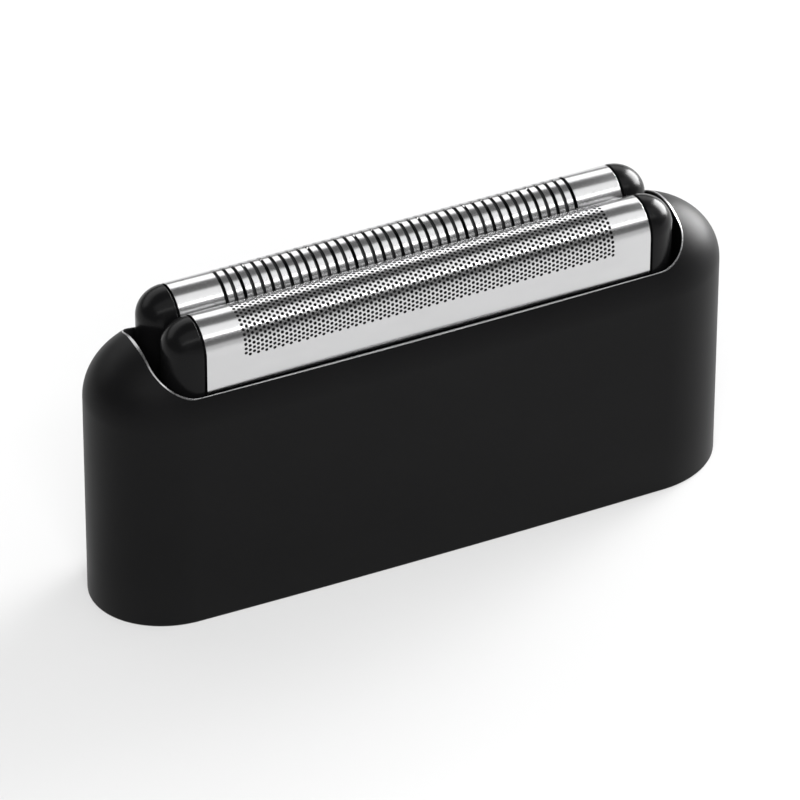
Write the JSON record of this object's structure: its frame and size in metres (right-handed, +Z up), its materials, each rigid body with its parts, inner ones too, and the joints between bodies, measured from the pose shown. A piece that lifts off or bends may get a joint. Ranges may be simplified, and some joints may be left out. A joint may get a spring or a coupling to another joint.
{
  "type": "shaver head",
  "caption": "Slim twin foil shaver head: pill-shaped housing with sprung arched foils, cutters sliding under them, and a drive bridge.",
  "frame": {"origin": "middle of the foot that the housing stands on", "axes": "+X along the head to the right, +Y from the micro-hole foil to the slotted foil, +Z up out of the foils"},
  "size_m": [0.06, 0.0134, 0.03],
  "materials": {
    "housing_black": "fine matte moulded plastic",
    "cap_black": "satin moulded plastic",
    "inner_grey": "matte moulded plastic",
    "acetal": "waxy bearing plastic",
    "foil_steel": "polished thin sheet",
    "blade_steel": "ground steel",
    "plain_steel": "bright drawn steel"
  },
  "bodies": {
    "head": {"housing": "housing_black", "base_cover": "housing_black", "cover_screws": "plain_steel", "chassis": "inner_grey", "front_guide_rod": "plain_steel", "rear_guide_rod": "plain_steel", "front_float_spring_left": "plain_steel", "front_float_spring_right": "plain_steel", "rear_float_spring_left": "plain_steel", "rear_float_spring_right": "plain_steel"},
    "drive_bridge": {"drive_bridge": "acetal", "front_cutter_spring_left": "plain_steel", "front_cutter_spring_right": "plain_steel", "rear_cutter_spring_left": "plain_steel", "rear_cutter_spring_right": "plain_steel"},
    "front_foil_unit": {"front_foil": "foil_steel", "front_foil_frame": "inner_grey", "front_cap_left": "cap_black", "front_cap_right": "cap_black"},
    "front_cutter": {"front_cutter_carrier": "inner_grey", "front_cutter_blades": "blade_steel"},
    "rear_foil_unit": {"rear_foil": "foil_steel", "rear_foil_frame": "inner_grey", "rear_cap_left": "cap_black", "rear_cap_right": "cap_black"},
    "rear_cutter": {"rear_cutter_carrier": "inner_grey", "rear_cutter_comb": "blade_steel"}
  },
  "joints": [
    {"name": "drive_bridge_slide", "type": "slide", "parent": "head", "child": "drive_bridge", "axis": [1, 0, 0], "range_m": [-0.001, 0.001]},
    {"name": "front_foil_float", "type": "slide", "parent": "head", "child": "front_foil_unit", "axis": [0, 0, 1], "range_m": [-0.0015, 0], "stiffness_N_per_m": 200, "springref_m": 0.003, "deforming": ["front_float_spring_left", "front_float_spring_right", "front_cutter_spring_left", "front_cutter_spring_right"]},
    {"name": "front_cutter_slide", "type": "slide", "parent": "front_foil_unit", "child": "front_cutter", "axis": [1, 0, 0], "range_m": [-0.001, 0.001]},
    {"name": "rear_foil_float", "type": "slide", "parent": "head", "child": "rear_foil_unit", "axis": [0, 0, 1], "range_m": [-0.0015, 0], "stiffness_N_per_m": 200, "springref_m": 0.003, "deforming": ["rear_float_spring_left", "rear_float_spring_right", "rear_cutter_spring_left", "rear_cutter_spring_right"]},
    {"name": "rear_cutter_slide", "type": "slide", "parent": "rear_foil_unit", "child": "rear_cutter", "axis": [1, 0, 0], "range_m": [-0.001, 0.001]}
  ],
  "couplings": [
    {"joint": "front_cutter_slide", "follows": "drive_bridge_slide", "ratio": 1},
    {"joint": "rear_cutter_slide", "follows": "drive_bridge_slide", "ratio": 1}
  ]
}
